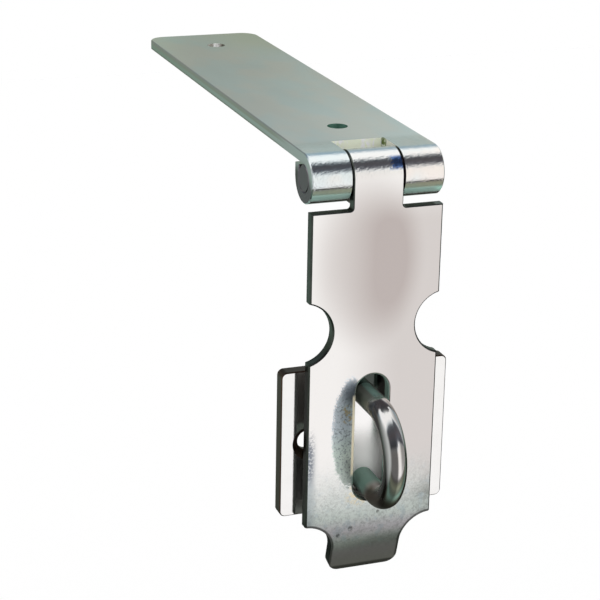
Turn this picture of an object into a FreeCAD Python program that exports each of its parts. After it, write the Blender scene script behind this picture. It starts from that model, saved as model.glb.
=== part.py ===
"""Hasp and staple in zinc-plated steel sheet, at rest with the strap hanging over the staple.

The frame: +X along the hinge pin, +Y back along the fixing leaf, +Z up. The origin is midway between
the leaf's two screw holes, on the face that lies on the wood.
"""
import FreeCAD, Part
import math
import os
import Sketcher

# Driving sizes, in millimetres and degrees
SIZES = {
    "strap_width": 40.3,
    "sheet_thickness": 3.1,
    "leaf_edge_bevel": 0.3,
    "strap_edge_bevel": 0.5,
    "pin_radius": 4.25,
    "pin_end_bevel": 0.5,
    "running_clearance": 0.05,
    "seam_gap": 1.2,
    "tongue_width": 15.2,
    "knuckle_gap": 0.55,
    "notch_room": 2.95,
    "first_hole_reach": 26.6,
    "leaf_hole_spacing": 122.1,
    "leaf_end_margin": 19.6,
    "leaf_hole_diameter": 6.2,
    "leaf_corner_radius": 6.0,
    "shoulder_room": 1.29,
    "shoulder_corner_radius": 1.0,
    "side_notch_radius": 9.55,
    "side_notch_outset": 2.3,
    "side_notch_drop": 44.75,
    "staple_drop": 81.3,
    "plate_gap": 3.0,
    "plate_width": 52.5,
    "plate_height": 46.4,
    "plate_thickness": 4.0,
    "plate_corner_radius": 1.8,
    "plate_edge_bevel": 0.35,
    "screw_spacing": 34.4,
    "screw_diameter": 6.0,
    "screw_sink_diameter": 10.6,
    "screw_sink_angle": 90.0,
    "rod_diameter": 7.0,
    "leg_spacing": 27.5,
    "loop_reach": 25.05,
    "tenon_diameter": 5.6,
    "rivet_flare": 0.8,
    "slot_side_room": 1.7,
    "slot_top_room": 5.0,
    "swing_clearance": 0.25,
    "slot_roll_radius": 0.6,
    "foot_land": 6.6,
    "scallop_radius": 9.0,
    "bend_lead": 1.0,
    "bend_radius": 26.0,
    "bend_angle": 16.0,
    "tab_straight": 12.0,
    "tab_corner_radius": 3.5,
    "cut_margin": 2.0,
}

# Sizes that follow from the driving ones. Levels are measured from the hinge axis
DERIVED = {
    "half_width": "strap_width / 2",
    "leaf_outer": "pin_radius + sheet_thickness",
    "leaf_leg": "pin_radius - seam_gap",
    "strap_bore": "pin_radius + running_clearance",
    "strap_outer": "strap_bore + sheet_thickness",
    "strap_leg": "strap_bore - seam_gap",
    "tongue_half": "tongue_width / 2",
    "knuckle_start": "tongue_half + knuckle_gap",
    "notch_reach": "strap_outer + notch_room",
    "leaf_length": "first_hole_reach + leaf_hole_spacing + leaf_end_margin",
    "hinge_setback": "first_hole_reach + leaf_hole_spacing / 2",
    "shoulder_drop": "leaf_outer + shoulder_room",
    "plate_setback": "plate_gap - strap_bore",
    "rod_radius": "rod_diameter / 2",
    "tenon_radius": "tenon_diameter / 2",
    "leg_half": "leg_spacing / 2",
    "leg_straight": "loop_reach - leg_half",
    "loop_swing": "sqrt((leg_straight - plate_setback) ^ 2 + staple_drop ^ 2) + leg_half + rod_radius",
    "slot_half": "rod_radius + slot_side_room",
    "slot_top": "staple_drop - leg_half - rod_radius - slot_top_room",
    "slot_bottom": "sqrt((loop_swing + swing_clearance) ^ 2 - strap_bore ^ 2)",
    "foot_drop": "slot_bottom + foot_land",
    "bend_drop": "foot_drop - bend_lead",
    "bend_centre": "bend_radius - strap_outer",
    "tab_half": "half_width - scallop_radius",
    "tab_front": "bend_centre - bend_radius * cos(bend_angle) + tab_straight * sin(bend_angle)",
    "tab_drop": "bend_drop + bend_radius * sin(bend_angle) + tab_straight * cos(bend_angle)",
    "tab_back": "tab_front + sheet_thickness * cos(bend_angle)",
    "tab_back_drop": "tab_drop - sheet_thickness * sin(bend_angle)",
}

# Vertices of a sketched line or arc, as the sketcher numbers them
START = 1
END = 2
CENTRE = 3

# Slack for telling edges apart by their place
SAME = 0.01


def make_sheet(doc):
    """Put the driving and the derived sizes in a spreadsheet, one named cell each."""
    sheet = doc.addObject("Spreadsheet::Sheet", "Sizes")
    formulas = {name: "=" + formula for name, formula in DERIVED.items()}
    numbers = {name: str(number) for name, number in SIZES.items()}
    for row, (name, content) in enumerate({**numbers, **formulas}.items(), start=1):
        sheet.set(f"A{row}", name)
        sheet.set(f"B{row}", content)
        sheet.setAlias(f"B{row}", name)
    doc.recompute()
    return sheet


def sized(formula):
    """Turn a formula in plain size names, spaced out, into one that reads the spreadsheet."""
    words = formula.split(" ")
    return " ".join("Sizes." + word if word in SIZES or word in DERIVED else word for word in words)


def bind(item, prop, formula):
    """Tie one property of an object to the spreadsheet."""
    item.setExpression(prop, sized(formula))


def origin_plane(body, role):
    """Find one of a body's own origin planes."""
    return next(feature for feature in body.Origin.OriginFeatures if feature.Role == role)


def new_body(doc, name, back="0", up="0"):
    """Start a body whose origin lies back and up from the hinge axis by two formulas."""
    body = doc.addObject("PartDesign::Body", name)
    body.Label = name
    bind(body, "Placement.Base.y", f"{back} - hinge_setback")
    bind(body, "Placement.Base.z", f"{up} - pin_radius")
    return body


def new_sketch(body, name, role):
    """Attach an empty sketch to one of the body's origin planes."""
    sketch = body.newObject("Sketcher::SketchObject", name)
    sketch.AttachmentSupport = (origin_plane(body, role), [""])
    sketch.MapMode = "FlatFace"
    return sketch


def corner(across, up):
    """Describe a sharp corner of an outline."""
    return {"at": (across, up)}


def arc(across, up, radius, start, end, span=None, clockwise=False):
    """Describe an arc round a centre, between bearings in degrees.

    An end that isn't level with the centre has the bearing None, and lies a span from the other end.
    """
    return {"at": (across, up), "radius": radius, "ends": (start, end),
            "span": span, "clockwise": clockwise}


def measure(sketch, formula):
    """Work out a formula's present value."""
    return float(sketch.evalExpression(sized(formula)))


def hold(sketch, constraint, formula):
    """Add a constraint whose size follows a formula."""
    index = sketch.addConstraint(constraint)
    bind(sketch, f"Constraints[{index}]", formula)


def hold_point(sketch, geometry, vertex, place):
    """Hold a sketch point at two formulas."""
    for kind, formula in zip(("DistanceX", "DistanceY"), place):
        hold(sketch, Sketcher.Constraint(kind, geometry, vertex, measure(sketch, formula)), formula)


def point(sketch, place):
    """Give the point that two formulas name."""
    return FreeCAD.Vector(*(measure(sketch, formula) for formula in place))


def bearings(sketch, step):
    """Give both bearings of an arc, with the one that its span sets worked out."""
    start, end = step["ends"]
    if step["span"]:
        span = measure(sketch, step["span"]) * (-1 if step["clockwise"] else 1)
        start = end - span if start is None else start
        end = start + span if end is None else end
    return start, end


def add_arc(sketch, step):
    """Draw an arc held by its formulas. Gives its number, then the ends where lines arrive and leave."""
    centre = point(sketch, step["at"])
    radius = measure(sketch, step["radius"])
    start, end = bearings(sketch, step)
    low, high = sorted((math.radians(start), math.radians(end)))
    circle = Part.Circle(centre, FreeCAD.Vector(0, 0, 1), radius)
    number = sketch.addGeometry(Part.ArcOfCircle(circle, low, high), False)
    hold_point(sketch, number, CENTRE, step["at"])
    hold(sketch, Sketcher.Constraint("Radius", number, radius), step["radius"])
    vertices = (START, END) if start < end else (END, START)
    for vertex, bearing in zip(vertices, step["ends"]):
        if bearing is None:
            hold(sketch, Sketcher.Constraint("Angle", number, high - low), step["span"])
        else:
            level = "Vertical" if bearing % 180 == 90 else "Horizontal"
            sketch.addConstraint(Sketcher.Constraint(level, number, CENTRE, number, vertex))
    return number, *vertices


def draw_outline(sketch, steps, closed=True):
    """Draw corners and arcs joined by straight lines, back to the first one if the outline is closed."""
    arcs = [add_arc(sketch, step) if "radius" in step else None for step in steps]
    last = len(steps) if closed else len(steps) - 1
    for number in range(last):
        following = (number + 1) % len(steps)
        ends = []
        for which, vertex in ((number, 2), (following, 1)):
            if arcs[which]:
                ends.append(sketch.getPoint(arcs[which][0], arcs[which][vertex]))
            else:
                ends.append(point(sketch, steps[which]["at"]))
        line = sketch.addGeometry(Part.LineSegment(*ends), False)
        for vertex, which, side in ((START, number, 2), (END, following, 1)):
            if arcs[which]:
                tie = Sketcher.Constraint("Coincident", line, vertex, arcs[which][0], arcs[which][side])
                sketch.addConstraint(tie)
            else:
                hold_point(sketch, line, vertex, steps[which]["at"])


def draw_circle(sketch, across, up, diameter):
    """Draw a circle held by three formulas."""
    size = measure(sketch, diameter)
    circle = Part.Circle(point(sketch, (across, up)), FreeCAD.Vector(0, 0, 1), size / 2)
    number = sketch.addGeometry(circle, False)
    hold_point(sketch, number, CENTRE, (across, up))
    hold(sketch, Sketcher.Constraint("Diameter", number, size), diameter)


def add_pad(body, sketch, length):
    """Raise a sketch to a solid, half of it to each side of the sketch."""
    pad = body.newObject("PartDesign::Pad", sketch.Name + "Pad")
    pad.Profile = sketch
    pad.SideType = "Symmetric"
    bind(pad, "Length", length)
    body.Document.recompute()


def cut_through(body, sketch):
    """Cut a sketch right through the body, to both sides of its plane."""
    pocket = body.newObject("PartDesign::Pocket", sketch.Name + "Cut")
    pocket.Profile = sketch
    pocket.SideType = "Symmetric"
    pocket.Type = "ThroughAll"
    body.Document.recompute()
    return pocket


def mirror(body, features, role):
    """Repeat features on the other side of an origin plane."""
    mirrored = body.newObject("PartDesign::Mirrored", "Mirrored" + features[0].Name)
    mirrored.Originals = features
    mirrored.MirrorPlane = (origin_plane(body, role), [""])
    body.Tip = mirrored
    body.Document.recompute()


def drill(body, sketch, diameter):
    """Drill a sketch's circles right through."""
    hole = body.newObject("PartDesign::Hole", sketch.Name + "Drilled")
    hole.Profile = sketch
    hole.DepthType = "ThroughAll"
    bind(hole, "Diameter", diameter)
    body.Document.recompute()
    return hole


def revolve(body, kind, sketch):
    """Turn a sketch a full turn round its own construction line, to add metal or to cut it."""
    feature = body.newObject("PartDesign::" + kind, sketch.Name + kind)
    feature.Profile = sketch
    feature.ReferenceAxis = (sketch, ["Axis0"])
    body.Document.recompute()
    return feature


def dress_edges(body, kind, name, size, wanted):
    """Round or bevel the edges of the body's tip that a test picks out."""
    base = body.Tip
    edges = [f"Edge{number}" for number, edge in enumerate(base.Shape.Edges, start=1) if wanted(edge)]
    dressing = body.newObject("PartDesign::" + kind, name)
    dressing.Base = (base, edges)
    bind(dressing, {"Fillet": "Radius", "Chamfer": "Size"}[kind], size)
    body.Document.recompute()


def close(first, second):
    """Tell whether two lengths are the same."""
    return abs(first - second) < SAME


def at_either(edge, axis, level):
    """Tell whether an edge lies wholly at one level of X, Y or Z, or at its mirror image."""
    return flat_at(edge, axis, level) or flat_at(edge, axis, -level)


def runs_along(edge, axis):
    """Tell whether an edge is straight and lies along X, Y or Z."""
    if not isinstance(edge.Curve, Part.Line):
        return False
    return close(abs(getattr(edge.Curve.Direction, axis)), 1)


def round_by(edge, radius):
    """Tell whether an edge is part of a circle of one radius."""
    return isinstance(edge.Curve, Part.Circle) and close(edge.Curve.Radius, radius)


def flat_at(edge, axis, level):
    """Tell whether an edge lies wholly at one level of X, Y or Z."""
    low = getattr(edge.BoundBox, axis + "Min")
    high = getattr(edge.BoundBox, axis + "Max")
    return close(low, level) and close(high, level)


def make_leaf(doc, value):
    """Flat leaf rolled down round the pin, cut away for the strap's knuckle, with two screw holes."""
    body = new_body(doc, "fixing_leaf")
    section = new_sketch(body, "LeafSection", "YZ_Plane")
    draw_outline(section, [
        corner("leaf_length", "pin_radius"),
        arc("0", "0", "pin_radius", 90, 360),
        corner("pin_radius", "leaf_leg"),
        corner("leaf_outer", "leaf_leg"),
        arc("0", "0", "leaf_outer", 360, 90),
        corner("leaf_length", "leaf_outer"),
    ])
    add_pad(body, section, "strap_width")

    notch = new_sketch(body, "KnuckleNotch", "XY_Plane")
    draw_outline(notch, [
        corner("0 - knuckle_start", "0 - leaf_outer - cut_margin"),
        corner("knuckle_start", "0 - leaf_outer - cut_margin"),
        corner("knuckle_start", "notch_reach"),
        corner("0 - knuckle_start", "notch_reach"),
    ])
    cut_through(body, notch)

    far = value("leaf_length")
    dress_edges(body, "Fillet", "FarCorners", "leaf_corner_radius",
                lambda edge: runs_along(edge, "z") and flat_at(edge, "Y", far))
    top = value("leaf_outer")
    half = value("half_width")
    dress_edges(body, "Chamfer", "TopRim", "leaf_edge_bevel",
                lambda edge: flat_at(edge, "Z", top) and at_either(edge, "X", half))

    holes = new_sketch(body, "LeafHoles", "XY_Plane")
    bind(holes, "AttachmentOffset.Base.z", "leaf_outer")
    draw_circle(holes, "0", "first_hole_reach", "leaf_hole_diameter")
    draw_circle(holes, "0", "first_hole_reach + leaf_hole_spacing", "leaf_hole_diameter")
    drill(body, holes, "leaf_hole_diameter")
    return body


def draw_strap_section(sketch):
    """Draw the strap seen end on: rolled round the pin, straight down, then bent back at the tab."""
    draw_outline(sketch, [
        arc("0", "0", "strap_outer", 180, -90),
        corner("0 - strap_leg", "0 - strap_outer"),
        corner("0 - strap_leg", "0 - strap_bore"),
        arc("0", "0", "strap_bore", -90, 180),
        arc("bend_centre", "0 - bend_drop", "bend_radius - sheet_thickness", 180, None, "bend_angle"),
        corner("tab_back", "0 - tab_back_drop"),
        corner("tab_front", "0 - tab_drop"),
        arc("bend_centre", "0 - bend_drop", "bend_radius", None, 180, "bend_angle", clockwise=True),
    ])


def cut_strap_sides(body):
    """Cut one side of the strap to its outline, then the other side by a mirror."""
    shoulder = new_sketch(body, "Shoulder", "XZ_Plane")
    draw_outline(shoulder, [
        corner("tongue_half", "strap_outer + cut_margin"),
        corner("half_width + cut_margin", "strap_outer + cut_margin"),
        corner("half_width + cut_margin", "0 - shoulder_drop"),
        arc("tongue_half + shoulder_corner_radius", "shoulder_corner_radius - shoulder_drop",
            "shoulder_corner_radius", 270, 180),
    ])
    side_notch = new_sketch(body, "SideNotch", "XZ_Plane")
    draw_circle(side_notch, "half_width + side_notch_outset", "0 - side_notch_drop",
                "side_notch_radius * 2")
    scallop = new_sketch(body, "Scallop", "XZ_Plane")
    draw_outline(scallop, [
        corner("half_width + cut_margin", "0 - foot_drop"),
        arc("half_width", "0 - foot_drop - scallop_radius", "scallop_radius", 90, 180),
        corner("tab_half", "0 - tab_drop - cut_margin"),
        corner("half_width + cut_margin", "0 - tab_drop - cut_margin"),
    ])
    cuts = [cut_through(body, sketch) for sketch in (shoulder, side_notch, scallop)]
    mirror(body, cuts, "YZ_Plane")


def dress_strap(body, value):
    """Round the tab's corners and bevel the rim of the front face."""
    tab_half = value("tab_half")
    thickness = value("sheet_thickness")
    below = -value("foot_drop") - value("scallop_radius")
    dress_edges(body, "Fillet", "TabCorners", "tab_corner_radius",
                lambda edge: at_either(edge, "X", tab_half) and close(edge.Length, thickness)
                and edge.BoundBox.ZMax < below)

    front = -value("strap_outer")
    half = value("half_width")
    dress_edges(body, "Chamfer", "FrontRim", "strap_edge_bevel",
                lambda edge: flat_at(edge, "Y", front)
                and (at_either(edge, "X", half) or round_by(edge, value("side_notch_radius"))))
    tongue_half = value("tongue_half")
    dress_edges(body, "Chamfer", "TongueRim", "leaf_edge_bevel",
                lambda edge: flat_at(edge, "Y", front) and runs_along(edge, "z")
                and at_either(edge, "X", tongue_half))


def cut_slot(body, value):
    """Cut the slot that passes over the loop, with its front edge rolled over by the punch."""
    slot = new_sketch(body, "Slot", "XZ_Plane")
    draw_outline(slot, [
        arc("0", "slot_half - slot_bottom", "slot_half", 180, 360),
        arc("0", "0 - slot_top - slot_half", "slot_half", 0, 180),
    ])
    cut_through(body, slot)

    front = -value("strap_outer")
    slot_half = value("slot_half")
    dress_edges(body, "Fillet", "SlotRoll", "slot_roll_radius",
                lambda edge: flat_at(edge, "Y", front) and at_either(edge, "X", slot_half))


def make_strap(doc, value):
    """Swinging strap: rolled tongue, side notches, slot over the loop, scalloped foot and bent tab."""
    body = new_body(doc, "hasp_strap")
    section = new_sketch(body, "StrapSection", "YZ_Plane")
    draw_strap_section(section)
    add_pad(body, section, "strap_width")
    cut_strap_sides(body)
    dress_strap(body, value)
    cut_slot(body, value)
    return body


def make_pin(doc):
    """Round pin, pressed into the leaf's knuckles and cut flush with their ends."""
    body = new_body(doc, "hinge_pin")
    section = new_sketch(body, "PinSection", "YZ_Plane")
    draw_circle(section, "0", "0", "pin_radius * 2")
    add_pad(body, section, "strap_width")
    dress_edges(body, "Chamfer", "PinEnds", "pin_end_bevel",
                lambda edge: isinstance(edge.Curve, Part.Circle))
    return body


def tenon_sketch(body):
    """Draw half a riveted tenon on the upper leg's axis: a plain shank, flared at the plate's back."""
    sketch = new_sketch(body, "Tenon", "YZ_Plane")
    ends = (("0", "leg_half"), ("plate_thickness", "leg_half"))
    axis = sketch.addGeometry(Part.LineSegment(*(point(sketch, place) for place in ends)), True)
    for vertex, place in zip((START, END), ends):
        hold_point(sketch, axis, vertex, place)
    draw_outline(sketch, [
        corner("0", "leg_half"),
        corner("plate_thickness", "leg_half"),
        corner("plate_thickness", "leg_half + tenon_radius + rivet_flare"),
        corner("plate_thickness - rivet_flare", "leg_half + tenon_radius"),
        corner("0", "leg_half + tenon_radius"),
    ])
    return sketch


def make_plate(doc, value):
    """Flat plate behind the strap, with two countersunk screw holes and the loop's two rivet holes."""
    body = new_body(doc, "staple_plate", back="plate_setback", up="0 - staple_drop")
    face = new_sketch(body, "PlateFace", "XZ_Plane")
    bind(face, "AttachmentOffset.Base.z", "0 - plate_thickness / 2")
    draw_outline(face, [
        corner("plate_width / 2", "plate_height / 2"),
        corner("0 - plate_width / 2", "plate_height / 2"),
        corner("0 - plate_width / 2", "0 - plate_height / 2"),
        corner("plate_width / 2", "0 - plate_height / 2"),
    ])
    add_pad(body, face, "plate_thickness")
    dress_edges(body, "Fillet", "PlateCorners", "plate_corner_radius", lambda edge: runs_along(edge, "y"))
    dress_edges(body, "Chamfer", "PlateRim", "plate_edge_bevel", lambda edge: flat_at(edge, "Y", 0))

    rivet_hole = revolve(body, "Groove", tenon_sketch(body))
    mirror(body, [rivet_hole], "XY_Plane")

    screws = new_sketch(body, "ScrewHoles", "XZ_Plane")
    draw_circle(screws, "screw_spacing / 2", "0", "screw_diameter")
    draw_circle(screws, "0 - screw_spacing / 2", "0", "screw_diameter")
    hole = drill(body, screws, "screw_diameter")
    hole.HoleCutType = "Countersink"
    bind(hole, "HoleCutDiameter", "screw_sink_diameter")
    bind(hole, "HoleCutCountersinkAngle", "screw_sink_angle")
    return body


def make_loop(doc):
    """Round rod bent to a U, shouldered on the plate and riveted behind it."""
    body = new_body(doc, "staple_loop", back="plate_setback", up="0 - staple_drop")
    route = new_sketch(body, "Route", "YZ_Plane")
    draw_outline(route, [
        corner("0", "leg_half"),
        arc("0 - leg_straight", "0", "leg_half", 90, 270),
        corner("0", "0 - leg_half"),
    ], closed=False)
    rod = new_sketch(body, "Rod", "XZ_Plane")
    draw_circle(rod, "0", "leg_half", "rod_diameter")
    pipe = body.newObject("PartDesign::AdditivePipe", "BentRod")
    pipe.Profile = rod
    pipe.Spine = route
    doc.recompute()
    tenon = revolve(body, "Revolution", tenon_sketch(body))
    mirror(body, [tenon], "XY_Plane")
    return body


def check(doc, bodies):
    """Stop if any object has failed or any sub-part isn't a single valid solid."""
    for item in doc.Objects:
        if "Invalid" in item.State or "Error" in item.State:
            raise RuntimeError(f"{item.Name} failed: {item.State}")
    for body in bodies:
        if body.Shape.isNull() or not body.Shape.isValid() or len(body.Shape.Solids) != 1:
            raise RuntimeError(f"{body.Label} isn't a single valid solid")


def main():
    """Build every sub-part, check it and write its file."""
    doc = FreeCAD.newDocument("HaspAndStaple")
    sheet = make_sheet(doc)

    def value(name):
        return float(getattr(sheet, name))

    bodies = [make_leaf(doc, value), make_strap(doc, value), make_pin(doc),
              make_plate(doc, value), make_loop(doc)]
    doc.recompute()
    check(doc, bodies)
    os.makedirs("parts", exist_ok=True)
    for body in bodies:
        body.Shape.exportStep(f"parts/{body.Label}.step")


main()
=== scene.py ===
"""Looks of a zinc-plated hasp and staple: the camera, a white studio, and plated steel with its wear."""

import math

import bpy
from mathutils import Matrix, Vector


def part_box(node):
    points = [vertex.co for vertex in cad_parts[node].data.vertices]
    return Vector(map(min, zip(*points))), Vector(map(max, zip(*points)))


# Camera, aimed from the pin's middle. Angles in degrees, lengths in metres
CAMERA_AZIMUTH = 20.044
CAMERA_ELEVATION = 19.689
CAMERA_ROLL = 1.079
CAMERA_DISTANCE = 0.51611
CAMERA_NEAREST = 0.01
AIM_ACROSS = -0.02036
AIM_UP = -0.03650
PICTURE_PIXELS = 600
FOCAL_PIXELS = 1788.1
SHIFT_PIXELS = 0.5
SENSOR_MM = 36.0

# Screen colours that bright plating mirrors, by bearing: 0 is the front, 90 overhead, 180 the back
STUDIO_BANDS = [
    (-180, (132, 140, 134)),
    (-159, (134, 154, 144)),
    (-148, (96, 108, 100)),
    (-135, (40, 38, 34)),
    (-118, (22, 17, 14)),
    (-108, (66, 64, 54)),
    (-99, (104, 116, 104)),
    (-91, (135, 168, 156)),
    (-84, (138, 172, 160)),
    (-74, (110, 128, 117)),
    (-66, (122, 131, 118)),
    (-57, (148, 155, 136)),
    (-49, (128, 132, 116)),
    (-43, (112, 114, 106)),
    (-38, (140, 139, 138)),
    (-33, (240, 239, 240)),
    (-29, (246, 245, 246)),
    (18, (243, 242, 240)),
    (27, (246, 249, 250)),
    (31, (214, 218, 224)),
    (35, (104, 108, 116)),
    (42, (82, 86, 94)),
    (57, (77, 74, 78)),
    (73, (72, 77, 83)),
    (78, (100, 106, 112)),
    (84, (214, 222, 226)),
    (90, (250, 251, 251)),
    (124, (247, 251, 253)),
    (133, (170, 188, 199)),
    (142, (142, 164, 180)),
    (158, (158, 171, 170)),
    (167, (149, 157, 149)),
]
# How much of those bands shows on the studio's left and on its far right, where 1 is all of it
LEFT_SHADE = [
    (-180, 0.8), (-158, 1.0), (-140, 0.9), (-110, 0.42), (-62, 0.42), (-46, 0.5), (-34, 0.14),
    (34, 0.14), (52, 0.75), (74, 1.0), (122, 1.0), (136, 0.6), (162, 0.45),
]
RIGHT_SHADE = [
    (-120, 0.5), (-50, 0.5), (-40, 0.8), (-25, 0.36), (38, 0.3),
    (48, 1.4), (80, 1.4), (92, 0.4), (125, 0.4), (140, 0.8),
]
# Light places in the studio, as screen colours
OVERHEAD_BACK = (183, 195, 193)
BACK_CORNER = (163, 180, 163)
FAR_LEFT = (196, 202, 202)
# Where each fades in or out: bearings in radians, and reaches to the right from -1 to 1
OVERHEAD_START = (0.1, 0.4)
OVERHEAD_END = (1.9, 1.6)
OVERHEAD_BACK_START = (2.69, 2.79)
OVERHEAD_BACK_END = (2.925, 2.858)
BACK_CORNER_START = (2.91, 2.95)
BACK_CORNER_REACH = (0.285, 0.25)
ASKEW_REACH = (0.27, 0.45)
LEFT_SHADE_REACH = (0.3, 0.02)
RIGHT_SHADE_REACH = (0.46, 0.82)
FAR_LEFT_REACH = (-0.75, -0.95)
# How far the overhead lamp is turned either way, in radians
ASKEW_TURN = 0.1
# Share of the light that plating gives back
PLATING_SHINE = 0.9

BLACK = (0.0, 0.0, 0.0, 1.0)
WHITE = (1.0, 1.0, 1.0, 1.0)

# Floor, in metres and linear tones
FLOOR_HALF = 2.0
FLOOR_LEVEL = -0.45
FLOOR_TONE = (0.85, 0.85, 0.85, 1.0)
FLOOR_GLOW = (0.15, 0.15, 0.15, 1.0)

# Screen colours of each piece's plating and of the marks on it, some of them painted light and shade
LEAF_COLOURS = {
    "cool": (236, 243, 243),
    "warm": (248, 241, 235),
    "yellow sheen": (228, 230, 206),
    "near edge": (255, 250, 255),
    "middle edge": (236, 242, 240),
    "far edge": (205, 219, 203),
    "edge top highlight": (216, 206, 196),
    "edge foot shade": (158, 146, 134),
    "far corner shade": (156, 148, 138),
    "roll end": (136, 122, 132),
    "back of roll end": (92, 82, 80),
    "notch": (250, 255, 232),
    "glint": (255, 255, 255),
    "chip": (120, 136, 84),
    "hole lip": (196, 192, 184),
    "lip highlight": (255, 255, 255),
    "lip end shade": (104, 104, 92),
    "near hole shade": (150, 196, 180),
    "under roll": (190, 236, 222),
    "specks": (120, 116, 122),
}
STRAP_COLOURS = {
    "bright": (243, 241, 238),
    "rosy": (188, 179, 175),
    "steel blue": (232, 246, 255),
    "pale teal": (232, 250, 240),
    "slate": (130, 144, 158),
    "slate specks": (112, 124, 136),
    "scratch": (216, 196, 140),
    "teal": (126, 152, 140),
    "satin": (212, 219, 214),
    "shaded satin": (156, 164, 158),
    "pale green": (234, 243, 238),
    "pale rose": (244, 238, 247),
    "tab": (166, 157, 161),
    "blue cloud": (172, 194, 208),
    "yellow blotch": (236, 218, 176),
    "pit": (70, 70, 68),
    "left edge": (150, 162, 168),
    "rub": (80, 90, 108),
    "rim": (52, 50, 46),
    "cut edge": (104, 110, 102),
    "slot wall": (150, 180, 168),
    "rim highlight": (255, 244, 214),
    "back": (128, 124, 120),
    "dark temper": (88, 112, 168),
    "light temper": (120, 156, 216),
}
PIN_COLOURS = {
    "dark": (134, 121, 130),
    "light": (146, 134, 142),
}
PLATE_COLOURS = {
    "dull": (238, 237, 234),
    "bright": (246, 245, 243),
    "slot_shade": (40, 50, 44),
    "in the slot": (255, 254, 252),
    "dark wall": (100, 76, 62),
    "light wall": (124, 104, 92),
    "side wall": (96, 78, 68),
    "upper wall": (72, 56, 48),
}
LOOP_COLOURS = {
    "dark": (226, 222, 220),
    "light": (236, 232, 228),
    "leg": (132, 162, 150),
    "leg foot shade": (84, 74, 70),
    "root": (112, 118, 106),
    "root top highlight": (170, 214, 202),
    "lower bend": (132, 120, 110),
}
# Roughness of each piece's plain plating, which wear adds to
ROUGHNESS = {"leaf": 0.1, "strap": 0.05, "pin": 0.25, "plate": 0.08, "loop": 0.1}
# Sizes in millimetres of the specks in the plating and of the grain on the rolled knuckles
SPECK_SIZE = 0.6
ROLL_GRAIN_SIZE = 0.8
# Depth in metres of grain with a height of 1, and that height on the rolled knuckles
GRAIN_DEPTH = 0.00001
PIN_GRAIN_DEPTH = 0.000006
ROLL_GRAIN_HEIGHT = 9.0

MM_PER_METRE = 1000.0
# Places on the pieces, in millimetres from the pin's middle
NEAR_HOLE_BACK = 26.6
SLOT_UP = -78.0
TAB_BEND_UP = -111.0
SCOOP_ACROSS = 20.15
SCOOP_UP = -115.25
# Small pits in the strap's foot: across, up and size
FOOT_PITS = [(-5.7, -108.5, 0.7), (-9.5, -110.5, 0.6), (3.0, -104.0, 0.5)]

# Colour sockets of a Mix node, which are known by number
MIX_FIRST = 6
MIX_SECOND = 7
MIX_RESULT = 2


def swatch(red, green, blue):
    """Turn a screen colour of 0 to 255 into the renderer's linear values, by the curve screens use."""
    def linear(level):
        level /= 255
        return level / 12.92 if level <= 0.04045 else ((level + 0.055) / 1.055) ** 2.4
    return (linear(red), linear(green), linear(blue), 1.0)


def studio_light(colour):
    """Give the light that plating mirrors as a screen colour."""
    return [part / PLATING_SHINE for part in swatch(*colour)]


def turn_share(bearing):
    """Give a bearing in degrees as a share of the turn from -180 to 180."""
    return (bearing + 180) / 360


class Channel:
    """A number in a node tree. Arithmetic on it adds Math nodes."""

    def __init__(self, tree, socket):
        self.tree = tree
        self.socket = socket

    def math(self, operation, first, second):
        return self.tree.node("ShaderNodeMath", {"operation": operation}, {0: first, 1: second})

    def __add__(self, other):
        return self.math("ADD", self, other)

    def __radd__(self, other):
        return self.math("ADD", other, self)

    def __sub__(self, other):
        return self.math("SUBTRACT", self, other)

    def __rsub__(self, other):
        return self.math("SUBTRACT", other, self)

    def __mul__(self, other):
        return self.math("MULTIPLY", self, other)

    def __rmul__(self, other):
        return self.math("MULTIPLY", other, self)

    def __abs__(self):
        return self.math("ABSOLUTE", self, 0.0)


class Tree:
    """A node tree that is written from one method."""

    def __init__(self, owner):
        owner.use_nodes = True
        self.nodes = owner.node_tree.nodes
        self.links = owner.node_tree.links
        self.nodes.clear()

    def node(self, kind, settings=None, inputs=None, output=0):
        """Add a node with its settings, then its sockets' values or links, and give one output."""
        made = self.nodes.new(kind)
        for name, setting in (settings or {}).items():
            if name == "stops":
                self.set_stops(made.color_ramp, setting)
            else:
                setattr(made, name, setting)
        for name, value in (inputs or {}).items():
            if isinstance(value, Channel):
                self.links.new(value.socket, made.inputs[name])
            else:
                made.inputs[name].default_value = value
        return Channel(self, made.outputs[output]) if made.outputs else None

    @staticmethod
    def set_stops(ramp, stops):
        while len(ramp.elements) < len(stops):
            ramp.elements.new(0.5)
        for element, (place, colour) in zip(ramp.elements, stops):
            element.position = place
            element.color = (*colour[:3], 1.0)

    def fade(self, value, start, full):
        """Go smoothly from 0 at the start to 1 where it is full."""
        return self.node("ShaderNodeMapRange", {"interpolation_type": "SMOOTHSTEP"},
                         {"Value": value, "From Min": start, "From Max": full})

    def blend(self, share, first, second, kind="MIX"):
        """Mix two colours by a share from 0 to 1."""
        return self.node("ShaderNodeMix", {"data_type": "RGBA", "blend_type": kind},
                         {"Factor": share, MIX_FIRST: first, MIX_SECOND: second}, output=MIX_RESULT)

    def vector(self, operation, first, second):
        return self.node("ShaderNodeVectorMath", {"operation": operation}, {0: first, 1: second})

    def split(self, vector):
        """Give a vector's three parts."""
        parts = self.node("ShaderNodeSeparateXYZ", None, {"Vector": vector}).socket.node.outputs
        return [Channel(self, part) for part in parts]


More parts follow.
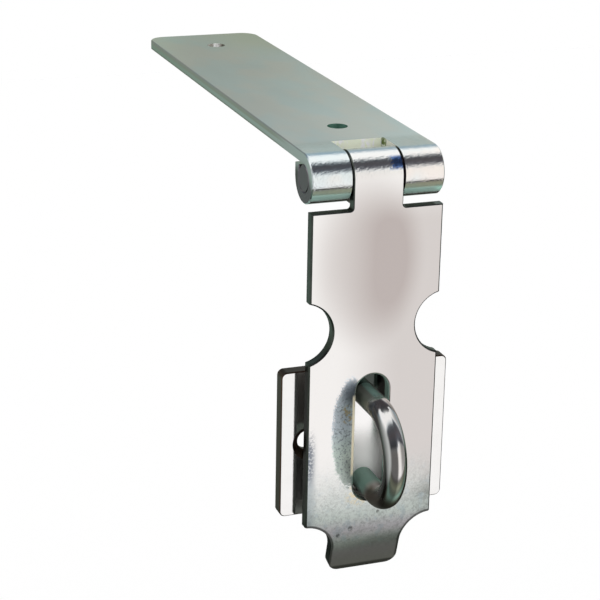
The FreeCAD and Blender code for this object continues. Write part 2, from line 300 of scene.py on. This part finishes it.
class Skin:
    """The surface of a piece, placed in millimetres from the pin's middle, and its colour so far."""

    def __init__(self, name, palette):
        self.material = bpy.data.materials.new(name)
        self.palette = palette
        self.colour = None
        self.tree = Tree(self.material)
        source = self.tree.node("ShaderNodeTexCoord").socket.node.outputs
        offset = self.tree.vector("SUBTRACT", Channel(self.tree, source["Object"]), tuple(pin_middle()))
        self.place = self.tree.vector("MULTIPLY", offset, (MM_PER_METRE,) * 3)
        self.across, self.back, self.up = self.tree.split(self.place)
        faces = self.tree.split(Channel(self.tree, source["Normal"]))
        self.faces_across, self.faces_back, self.faces_up = faces

    def fade(self, value, start, full):
        return self.tree.fade(value, start, full)

    def near(self, value, middle, start, full):
        """Fade in by the distance from a middle."""
        return self.fade(abs(value - middle), start, full)

    def noise(self, size_mm, detail=2.0, roughness=0.5, stretch=(1.0, 1.0, 1.0)):
        """Cloudy noise with lumps of about a size. A stretch draws the lumps out along an axis."""
        scale = tuple(1 / (size_mm * part) for part in stretch)
        spot = self.tree.vector("MULTIPLY", self.place, scale)
        return self.tree.node("ShaderNodeTexNoise", None,
                              {"Vector": spot, "Scale": 1.0, "Detail": detail, "Roughness": roughness})

    def oval(self, middle, half_sizes):
        """Grow from 0 at the middle of an upright oval to 1 at its line."""
        wide = (self.across - middle[0]) * (1 / half_sizes[0])
        tall = (self.up - middle[1]) * (1 / half_sizes[1])
        return wide * wide + tall * tall

    def patch(self, middle, half_sizes, core=0.0):
        """A soft oval, from 0 at its line to 1 in its core."""
        return self.fade(self.oval(middle, half_sizes), 1.0, core)

    def tone(self, name):
        """Give a colour by its name in the palette, or a mixed colour as it is."""
        return name if isinstance(name, Channel) else swatch(*self.palette[name])

    def mix(self, share, first, second):
        """Mix two tones by a share from 0 to 1."""
        return self.tree.blend(share, self.tone(first), self.tone(second))

    def dim(self, tone, level):
        """Scale a tone by a number from 0 to 1."""
        return self.tree.blend(1.0 - level, self.tone(tone), BLACK)

    def coat(self, share, tone, strength=1.0):
        """Lay a tone over the colour so far."""
        self.colour = self.mix(share * strength, self.colour, tone)

    def finish(self, roughness, height, metallic=1.0, depth=GRAIN_DEPTH):
        """Close the tree with a metal shader."""
        tree = self.tree
        bump = tree.node("ShaderNodeBump", None, {"Strength": 1.0, "Distance": depth, "Height": height})
        shader = tree.node("ShaderNodeBsdfPrincipled", None, {
            "Base Color": self.colour, "Metallic": metallic, "Roughness": roughness, "Normal": bump})
        tree.node("ShaderNodeOutputMaterial", None, {"Surface": shader})
        return self.material


def pin_middle():
    """The hinge pin's centre, which the camera and the finishes are set out from."""
    low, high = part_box("hinge_pin")
    return (low + high) / 2


def set_camera():
    """Put the camera at the photograph's viewing angle."""
    azimuth = math.radians(CAMERA_AZIMUTH)
    elevation = math.radians(CAMERA_ELEVATION)
    back = Vector((-math.sin(azimuth) * math.cos(elevation),
                   -math.cos(azimuth) * math.cos(elevation),
                   math.sin(elevation)))
    right = Vector((math.cos(azimuth), -math.sin(azimuth), 0.0))
    up = back.cross(right)
    turn = Matrix.Rotation(math.radians(CAMERA_ROLL), 3, back)
    right, up = turn @ right, turn @ up
    camera = bpy.data.objects.new("camera", bpy.data.cameras.new("camera"))
    camera.data.sensor_width = SENSOR_MM
    camera.data.lens = FOCAL_PIXELS * SENSOR_MM / PICTURE_PIXELS
    camera.data.clip_start = CAMERA_NEAREST
    camera.data.shift_x = -SHIFT_PIXELS / PICTURE_PIXELS
    camera.data.shift_y = SHIFT_PIXELS / PICTURE_PIXELS
    place = pin_middle() + Vector((AIM_ACROSS, 0.0, AIM_UP)) + back * CAMERA_DISTANCE
    facing = Matrix((right, up, back)).transposed().to_4x4()
    camera.matrix_world = Matrix.Translation(place) @ facing
    bpy.context.scene.collection.objects.link(camera)
    bpy.context.scene.camera = camera


def set_studio_light():
    """White behind the object, and the bands of a studio for the plating to mirror."""
    world = bpy.data.worlds.new("studio")
    bpy.context.scene.world = world
    tree = Tree(world)
    across, back, upward = tree.split(tree.node("ShaderNodeTexCoord"))
    bearing = tree.node("ShaderNodeMath", {"operation": "ARCTAN2"}, {0: upward, 1: back * -1.0})
    # The lamp overhead stands a little askew
    overhead = tree.fade(bearing, *OVERHEAD_START) * tree.fade(bearing, *OVERHEAD_END)
    askew = tree.fade(across, *ASKEW_REACH) * (2 * ASKEW_TURN) - ASKEW_TURN
    share = (bearing - askew * overhead) * (1 / math.tau) + 0.5
    stops = [(turn_share(angle), studio_light(colour)) for angle, colour in STUDIO_BANDS]
    bands = tree.node("ShaderNodeValToRGB", {"stops": stops}, {"Fac": share})
    # Lighter above the back, as the leaf's top mirrors it
    overhead_back = tree.fade(bearing, *OVERHEAD_BACK_START) * tree.fade(bearing, *OVERHEAD_BACK_END)
    bands = tree.blend(overhead_back, bands, studio_light(OVERHEAD_BACK))
    back_corner = tree.fade(bearing, *BACK_CORNER_START) * tree.fade(across, *BACK_CORNER_REACH)
    bands = tree.blend(back_corner, bands, studio_light(BACK_CORNER))
    for shade, reach in ((LEFT_SHADE, LEFT_SHADE_REACH), (RIGHT_SHADE, RIGHT_SHADE_REACH)):
        stops = [(turn_share(angle), [level] * 3) for angle, level in shade]
        shown = tree.node("ShaderNodeValToRGB", {"stops": stops}, {"Fac": share})
        bands = tree.blend(tree.fade(across, *reach), bands, shown, kind="MULTIPLY")
    # Plain and light at the far left
    bands = tree.blend(tree.fade(across, *FAR_LEFT_REACH), bands, swatch(*FAR_LEFT))
    path = tree.node("ShaderNodeLightPath").socket.node.outputs
    mirrored = Channel(tree, path["Is Glossy Ray"])
    colour = tree.blend(mirrored, WHITE, bands)
    shader = tree.node("ShaderNodeBackground", None, {"Color": colour, "Strength": 1.0})
    tree.node("ShaderNodeOutputWorld", None, {"Surface": shader})


def roll_grain(skin):
    """Fine grain of the rolled knuckles."""
    return skin.noise(ROLL_GRAIN_SIZE, detail=3.0, roughness=0.65)


def leaf_face(skin, top):
    """Give the leaf a faint cloud, with painted shade on its top toward its left and a painted yellow sheen
    at its far right.
    """
    cloud = skin.noise(11.0, stretch=(1.0, 2.5, 1.0))
    tint = skin.fade(skin.noise(13.0, stretch=(1.0, 1.6, 1.0)), 0.35, 0.65)
    # Painted shade on the top, darker toward the left
    near_left = skin.fade(skin.across, 22.0, -22.0) * skin.fade(skin.back, 135.0, 60.0) * 0.24 * top
    near_left = near_left * skin.fade(skin.back, 2.0, 12.0)
    skin.colour = skin.dim(skin.mix(tint, "cool", "warm"), 0.97 + (cloud - 0.5) * 0.1 - near_left)
    # More painted shade on the top at the far left
    far_left = skin.fade(skin.back, 80.0, 115.0) * skin.fade(skin.across, 20.0, -5.0) * top
    skin.colour = skin.dim(skin.colour, 1.0 - far_left * 0.1)
    # Painted yellow sheen on the top at the far right
    far_right = skin.fade(skin.back, 115.0, 165.0) * skin.fade(skin.across, -12.0, 20.0) * top
    skin.coat(far_right, "yellow sheen")


def leaf_edges(skin, top):
    """Paint light on the leaf's cut edges: brighter near the hinge and darker far off, a highlight along
    their top, shade along their foot and at the far end corner; give where they face sideways.
    """
    sideways = skin.fade(abs(skin.faces_across), 0.6, 0.9)
    # Painted reflection: the edges brighter near the hinge, greener and darker far from it
    tone = skin.mix(skin.fade(skin.back, 10.0, 45.0), "near edge", "middle edge")
    tone = skin.mix(skin.fade(skin.back, 50.0, 160.0), tone, "far edge")
    along = skin.fade(skin.back, 10.0, 30.0)
    # Painted highlight along the edges' top and painted shade along their foot
    tone = skin.mix(skin.fade(skin.up, 5.6, 6.2) * along * 0.8, tone, "edge top highlight")
    tone = skin.mix(skin.fade(skin.up, 4.95, 4.5) * along * 0.6, tone, "edge foot shade")
    # Painted shade at the leaf's far end corner
    corner = skin.fade(skin.faces_back, 0.02, 0.3) * skin.fade(skin.back, 160.0, 163.0) * (1.0 - top)
    tone = skin.mix(corner * 0.8, tone, "far corner shade")
    skin.coat(skin.fade(sideways + corner, 0.0, 1.0), tone)
    return sideways


def leaf_roll_ends(skin, sideways):
    """Darken the cut ends of the rolled knuckles, and give where they are."""
    ends = sideways * skin.fade(skin.back, 12.0, 9.0) * skin.fade(skin.up + skin.back * 0.25, 6.0, 1.5)
    ends = ends * skin.fade(skin.up - skin.back, 8.0, 3.0)
    skin.coat(ends, skin.mix(skin.fade(skin.back, 4.2, 6.0), "roll end", "back of roll end"))
    return ends


def leaf_notch(skin):
    """Give the cut face behind the middle knuckle its glints and a chip, and give where it is."""
    notch = skin.fade(abs(skin.faces_up), 0.5, 0.2) * skin.fade(abs(skin.across), 10.5, 9.5)
    notch = notch * skin.fade(skin.back, 7.6, 8.6) * skin.fade(skin.back, 15.0, 13.0)
    glint = skin.fade(skin.noise(1.6, detail=4.0, stretch=(1.0, 1.0, 2.0)), 0.48, 0.6)
    chip = skin.near(skin.across, 8.2, 1.0, 0.5) * skin.fade(skin.noise(0.9), 0.36, 0.5)
    # Painted highlight: the cut face near white and barely metallic, with its glints
    skin.coat(notch, skin.mix(chip, skin.mix(glint, "notch", "glint"), "chip"))
    return notch


def leaf_holes(skin):
    """Paint a pale lip with a highlight and shaded ends into the far screw hole and dull dark teal shade
    into the near one, and give where they are.
    """
    inward = skin.fade(skin.faces_up, 0.7, 0.3)
    far = skin.fade(abs(skin.across), 5.0, 3.6) * skin.fade(skin.back, 140.0, 142.0)
    far = far * inward * skin.fade(skin.back, 158.0, 155.0)
    # Painted highlight in the middle of the far lip and painted shade at its ends
    lip = skin.mix(skin.near(skin.across, 0.9, 1.5, 0.6), "hole lip", "lip highlight")
    lip = skin.mix(skin.fade(abs(skin.across), 2.1, 2.9), lip, "lip end shade")
    skin.coat(far, lip)
    # Painted shade, dull dark teal, in the nearer screw hole
    near = skin.near(skin.back, NEAR_HOLE_BACK, 5.0, 4.0) * inward
    near = near * skin.fade(abs(skin.across), 5.0, 4.0)
    skin.coat(near, "near hole shade")
    return far, near


def leaf_roll(skin, grain):
    """Paint the teal the roll mirrors underneath, duller there, and a speckled line of painted shade above
    that, and give where it is dull.
    """
    front = skin.fade(skin.back, 0.0, -2.0)
    # Painted reflection: the studio's teal band, which the strap's shoulder hides from the roll
    under = skin.fade(skin.faces_up, -0.4, -0.52) * skin.fade(skin.faces_up, -0.82, -0.7) * front
    skin.coat(under, "under roll", strength=0.8)
    # Painted shade: a speckled dark line at one slope of the roll
    line = skin.near(skin.faces_up, -0.2, 0.05, 0.02) * skin.fade(grain, 0.42, 0.52) * front
    skin.coat(line, "specks", strength=0.8)
    return under


def leaf_zinc():
    """Smooth plated sheet with a faint cloud in it, brighter and grainier where it is rolled."""
    skin = Skin("leaf_zinc", LEAF_COLOURS)
    grain = roll_grain(skin)
    top = skin.fade(skin.faces_up, 0.5, 0.9)
    leaf_face(skin, top)
    sideways = leaf_edges(skin, top)
    roll_end = leaf_roll_ends(skin, sideways)
    notch = leaf_notch(skin)
    far_hole, near_hole = leaf_holes(skin)
    under = leaf_roll(skin, grain)
    near_roll = skin.fade(skin.back, 12.0, 4.0)
    height = grain * (0.12 + near_roll * ROLL_GRAIN_HEIGHT)
    rough = ROUGHNESS["leaf"] - near_roll * 0.05 + notch * 0.3 + roll_end * 0.2 + near_hole * 0.4
    metallic = 1.0 - notch * 0.9 - far_hole * 0.6 - under * 0.45
    return skin.finish(rough, height, metallic)


def strap_middle(skin):
    """Start the strap mirror-bright, with a soft rosy painted reflection in its middle and down its right.
    """
    # Painted reflection: darker and rosy in the middle and down the right
    middle = skin.patch((-3.0, -24.0), (19.0, 30.0)) * 0.62
    right_side = skin.fade(skin.across, -13.0, 9.0) * skin.fade(skin.up, 2.0, -14.0) * 0.57
    skin.colour = skin.mix(middle + right_side + 0.04, "bright", "rosy")


def strap_slot_sides(skin, speck, cloud):
    """Dull the strap on both sides of the slot and paint the loop's reflection there, and give where on the
    left and on the right.
    """
    front = skin.fade(skin.faces_back, -0.9, -0.97)
    # Painted reflection of the loop on the left, steel-blue and teal, with a ragged rim and dark specks,
    # and a scratch
    ragged = (speck - 0.5) * 0.9 + (cloud - 0.5) * 0.5
    left = skin.fade(skin.oval((-6.5, -77.0), (5.9, 17.5)) + ragged, 1.1, 0.8)
    left = left * skin.fade(skin.across, -4.4, -5.4) * front
    tone = skin.mix(skin.fade(skin.up, -74.0, -84.0), "steel blue", "pale teal")
    tone = skin.mix(skin.patch((-4.5, -64.0), (7.0, 5.5)), tone, "slate")
    skin.coat(left, tone, strength=0.9)
    skin.coat(left * skin.fade(speck, 0.5, 0.64), "slate specks", strength=0.7)
    scratch = skin.fade(skin.noise(1.0), 0.5, 0.62) * skin.patch((-7.5, -71.0), (2.5, 3.5), core=0.4)
    skin.coat(scratch, "scratch", strength=0.8)
    # Painted teal reflection on the right, which the loop's back covers
    right = skin.patch((6.4, -82.5), (3.0, 11.0), core=0.6) * front
    skin.coat(right, "teal", strength=0.8)
    return left, right


def strap_foot(skin, speck, cloud):
    """Lay mottled greenish satin on the foot, and give where the foot and its tip are."""
    foot = skin.fade(skin.up + (cloud - 0.5) * 7.0, -82.0, -106.0)
    tip = skin.fade(skin.up, TAB_BEND_UP, -119.0)
    # Painted shade: darker toward the lower right corner and down the right edge
    corner = skin.fade(skin.across * 0.8 - skin.up, 105.0, 119.0)
    satin = skin.mix(corner, "satin", "shaded satin")
    pale = skin.mix(skin.fade(skin.up, -104.0, -110.0), "pale green", "pale rose")
    satin = skin.mix(skin.near(skin.up, -107.0, 8.5, 2.5), satin, pale)
    satin = skin.mix(tip, satin, "tab")
    mottle = skin.noise(1.5, detail=3.0, roughness=0.65)
    spots = ((speck - 0.5) * 0.9 + (mottle - 0.5) * 0.8) * (1.0 - tip * 0.8)
    right_edge = skin.fade(skin.across, 12.0, 20.0) * 0.2
    skin.coat(foot, skin.dim(satin, 0.92 + spots - right_edge))
    blue = skin.fade(skin.noise(2.6, detail=3.0, roughness=0.6, stretch=(1.0, 1.0, 1.4)), 0.52, 0.66)
    skin.coat(blue * foot * (1.0 - tip), "blue cloud", strength=0.28)
    yellow = skin.fade(skin.noise(1.1, detail=3.0), 0.42, 0.6) * skin.patch((-3.6, -97.5), (5.0, 4.5))
    skin.coat(yellow, "yellow blotch", strength=0.7)
    for across, up, size in FOOT_PITS:
        pit = skin.patch((across, up), (size * 1.4, size * 1.6), core=0.2) * skin.fade(speck, 0.4, 0.55)
        skin.coat(pit, "pit", strength=0.7)
    return foot, tip


def strap_left_edge(skin, speck, cloud):
    """Add grainy blue wear down the left edge."""
    edge = skin.fade(skin.across, -16.0, -19.4) * skin.fade(skin.up, -74.0, -84.0)
    skin.coat(edge, "left edge", strength=0.55)
    rub = skin.fade(skin.across, -17.0, -19.0) * skin.near(skin.up, -84.0, 11.0, 3.0)
    rub = rub * skin.fade(speck + cloud * 0.4, 0.58, 0.74)
    skin.coat(rub, "rub", strength=0.7)


def strap_rims(skin):
    """Paint shade along the rims of the foot and the tab."""
    inward = abs(skin.across) - SCOOP_ACROSS
    low = skin.up - SCOOP_UP
    scoop_rim = skin.fade(inward * inward + low * low, 100.0, 88.0) * skin.fade(skin.up, -117.0, -114.0)
    side_rim = skin.fade(abs(skin.across), 10.0, 10.9) * skin.fade(skin.up, -112.0, -115.5)
    end_rim = skin.fade(skin.up, -122.0, -123.2)
    # Painted shade where the rims round over
    skin.coat(skin.fade(scoop_rim + side_rim + end_rim, 0.0, 1.0), "rim", strength=0.75)


def strap_cut_edges(skin, cloud, flat):
    """Darken the strap's cut edges but paint the slot's with the teal they mirror, and give both and the
    painted highlight on the slot's rim.
    """
    wall = skin.fade(abs(skin.faces_back), 0.93, 0.66) * flat
    sideways = skin.fade(abs(skin.faces_across), 0.3, 0.75)
    slot = skin.fade(abs(skin.across), 7.2, 6.6) * skin.near(skin.up, SLOT_UP, 22.0, 20.5)
    lower = skin.fade(skin.up, -102.0, -107.0) * 0.45
    cut = skin.dim("cut edge", 0.7 + (cloud - 0.5) * 1.2 - lower)
    skin.coat((wall + sideways - wall * sideways) * (1.0 - slot), cut)
    slot_wall = wall * slot
    # Painted teal reflection on the slot's walls, which are less metallic
    skin.coat(slot_wall, "slot wall")
    # Painted highlight: a bright line down the slot's left rim
    rim_highlight = skin.near(skin.across, -5.6, 0.8, 0.35) * skin.near(skin.up, SLOT_UP, 13.5, 12.0)
    rim_highlight = rim_highlight * skin.fade(skin.back, -6.2, -6.8)
    skin.coat(rim_highlight, "rim highlight")
    return wall, slot_wall, rim_highlight


def strap_temper(skin, speck, cloud):
    """Add blue temper colour at one end of the knuckle, and give where it is."""
    ragged = skin.across + (speck - 0.5) * 6.0
    temper = skin.fade(ragged, 3.4, 5.0) * skin.fade(skin.up + (cloud - 0.5) * 3.0, 2.0, 3.5)
    temper = temper * skin.fade(skin.back, -4.0, -5.0)
    skin.coat(temper, skin.mix(skin.fade(speck, 0.4, 0.6), "dark temper", "light temper"))
    return temper


def strap_zinc():
    """Mirror-bright strap with a painted rosy reflection in its middle, dark cut edges, and a grainy foot
    with wear.
    """
    skin = Skin("strap_zinc", STRAP_COLOURS)
    speck = skin.noise(SPECK_SIZE, detail=3.0, roughness=0.7)
    cloud = skin.noise(3.5, detail=3.0, roughness=0.6, stretch=(1.0, 1.0, 1.6))
    flat = skin.fade(skin.up, -2.0, -5.0)
    strap_middle(skin)
    left_of_slot, right_of_slot = strap_slot_sides(skin, speck, cloud)
    foot, tip = strap_foot(skin, speck, cloud)
    strap_left_edge(skin, speck, cloud)
    strap_rims(skin)
    wall, slot_wall, rim_highlight = strap_cut_edges(skin, cloud, flat)
    # Painted shade on the side toward the wood, which the plate mirrors, and less metallic there
    back_shade = skin.fade(skin.faces_back, 0.5, 0.9) * flat
    skin.coat(back_shade, "back", strength=0.8)
    temper = strap_temper(skin, speck, cloud)
    near_roll = skin.fade(skin.up, -1.0, 2.0)
    height = speck * (0.14 + foot * 1.2 + left_of_slot * 1.5)
    height = height + roll_grain(skin) * near_roll * ROLL_GRAIN_HEIGHT
    bend = skin.near(skin.up, TAB_BEND_UP, 12.0, 4.0)
    rough = ROUGHNESS["strap"] + foot * 0.22 + bend * 0.2 + tip * 0.06 + wall * 0.2
    rough = rough + left_of_slot * 0.27 + temper * 0.1 + right_of_slot * 0.3
    metallic = 1.0 - slot_wall * 0.7 - rim_highlight * 0.6 - right_of_slot * 0.5 - back_shade * 0.5
    return skin.finish(rough, height, metallic)


def pin_zinc():
    """Dull dark plating on the pin's ends."""
    skin = Skin("pin_zinc", PIN_COLOURS)
    cloud = skin.noise(1.5, detail=3.0)
    skin.colour = skin.mix(cloud, "dark", "light")
    return skin.finish(ROUGHNESS["pin"] + cloud * 0.1, skin.noise(0.5), depth=PIN_GRAIN_DEPTH)


def plate_zinc():
    """Bright staple plate with dark brown walls, painted shade and whiter, duller plating where the strap's
    slot is.
    """
    skin = Skin("plate_zinc", PLATE_COLOURS)
    cloud = skin.noise(4.0, detail=3.0)
    speck = skin.noise(SPECK_SIZE, detail=3.0, roughness=0.65)
    skin.colour = skin.mix(cloud, "dull", "bright")
    # Painted shade at the top of the slot, where the loop's upper leg is mirrored
    slot_shade = skin.patch((0.0, -63.0), (7.0, 5.5), core=0.4)
    skin.coat(slot_shade, "slot_shade", strength=0.95)
    wall = skin.fade(abs(skin.faces_back), 0.98, 0.75)
    brown = skin.mix(speck, "dark wall", "light wall")
    # Painted shade: the walls facing sideways a little darker, those facing up darker still
    brown = skin.mix(skin.fade(abs(skin.faces_across), 0.6, 0.9), brown, "side wall")
    brown = skin.mix(skin.fade(skin.faces_up, 0.5, 0.9), brown, "upper wall")
    skin.coat(wall, brown)
    # Painted highlight where it is open to the slot: whiter and less metallic, and dullest low down
    window = skin.fade(abs(skin.across), 8.0, 6.0) * skin.near(skin.up, -81.0, 18.0, 15.0)
    window = window * skin.fade(skin.faces_back, -0.8, -0.95)
    low = window * skin.fade(skin.up, -76.0, -88.0)
    skin.coat(window * (1.0 - slot_shade), "in the slot")
    rough = ROUGHNESS["plate"] + wall * 0.25 + window * 0.12 + low * 0.26
    return skin.finish(rough, speck * 0.3, 1.0 - low * 0.7)


def loop_zinc():
    """Polished rod with painted shade on its left, dull with a painted teal reflection and shade where its
    lower leg leaves the plate, shade and a highlight on its upper leg there, and painted brown shade round
    its lower bend.
    """
    skin = Skin("loop_zinc", LOOP_COLOURS)
    cloud = skin.noise(3.0, detail=3.0)
    speck = skin.noise(SPECK_SIZE, detail=3.0, roughness=0.65)
    # Painted shade on the side facing far left
    far_left = skin.fade(skin.faces_across, -0.7, -0.95)
    skin.colour = skin.dim(skin.mix(cloud, "dark", "light"), 1.0 - far_left * 0.6)
    near_plate = skin.fade(skin.back, -15.0, -10.0)
    # Painted teal reflection on the lower leg by the plate, with painted shade on its lower part
    leg = skin.fade(skin.up, -86.0, -89.0) * near_plate
    skin.coat(leg, skin.mix(skin.fade(skin.up, -94.0, -97.0), "leg", "leg foot shade"))
    # Painted shade on the upper leg by the plate, with a painted highlight along its top
    root = skin.fade(skin.up, -76.0, -70.0) * near_plate
    skin.coat(root, "root", strength=0.8)
    skin.coat(skin.fade(skin.faces_up, 0.88, 0.97) * root, "root top highlight", strength=0.7)
    # Painted brown shade round the lower bend
    lower_bend = skin.fade(skin.up, -88.0, -93.0) * (1.0 - near_plate)
    skin.coat(lower_bend, "lower bend")
    rough = ROUGHNESS["loop"] + speck * 0.06 + leg * 0.3 + lower_bend * 0.22 + root * 0.2
    return skin.finish(rough, speck * 0.3, 1.0 - leg * 0.4 - root * 0.3)


def plate_all():
    """Give every piece its plating."""
    finishes = {
        "fixing_leaf": leaf_zinc(),
        "hasp_strap": strap_zinc(),
        "hinge_pin": pin_zinc(),
        "staple_plate": plate_zinc(),
        "staple_loop": loop_zinc(),
    }
    for node, finish in finishes.items():
        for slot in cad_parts[node].material_slots:
            slot.material = finish


def set_floor():
    """A plain pale floor, well below the hanging strap."""
    half = FLOOR_HALF
    corners = [(x, y, FLOOR_LEVEL) for x, y in ((-half, -half), (half, -half), (half, half), (-half, half))]
    mesh = bpy.data.meshes.new("floor")
    mesh.from_pydata(corners, [], [(0, 1, 2, 3)])
    floor = bpy.data.objects.new("floor", mesh)
    bpy.context.scene.collection.objects.link(floor)
    material = bpy.data.materials.new("pale_floor")
    tree = Tree(material)
    seen = Channel(tree, tree.node("ShaderNodeLightPath").socket.node.outputs["Is Camera Ray"])
    pale = tree.node("ShaderNodeBsdfDiffuse", None, {"Color": FLOOR_TONE})
    glow = tree.blend(seen, BLACK, FLOOR_GLOW)
    lift = tree.node("ShaderNodeEmission", None, {"Color": glow, "Strength": 1.0})
    shader = tree.node("ShaderNodeAddShader", None, {0: pale, 1: lift})
    tree.node("ShaderNodeOutputMaterial", None, {"Surface": shader})
    mesh.materials.append(material)
    floor.visible_glossy = False


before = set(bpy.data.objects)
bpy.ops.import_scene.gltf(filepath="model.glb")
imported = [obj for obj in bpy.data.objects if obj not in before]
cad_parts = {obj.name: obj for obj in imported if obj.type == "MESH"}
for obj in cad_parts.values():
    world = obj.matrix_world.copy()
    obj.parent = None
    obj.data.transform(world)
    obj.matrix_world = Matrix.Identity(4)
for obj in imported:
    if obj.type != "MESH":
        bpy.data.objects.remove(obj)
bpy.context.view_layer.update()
bpy.context.scene.view_settings.view_transform = "Standard"
set_camera()
set_studio_light()
set_floor()
plate_all()
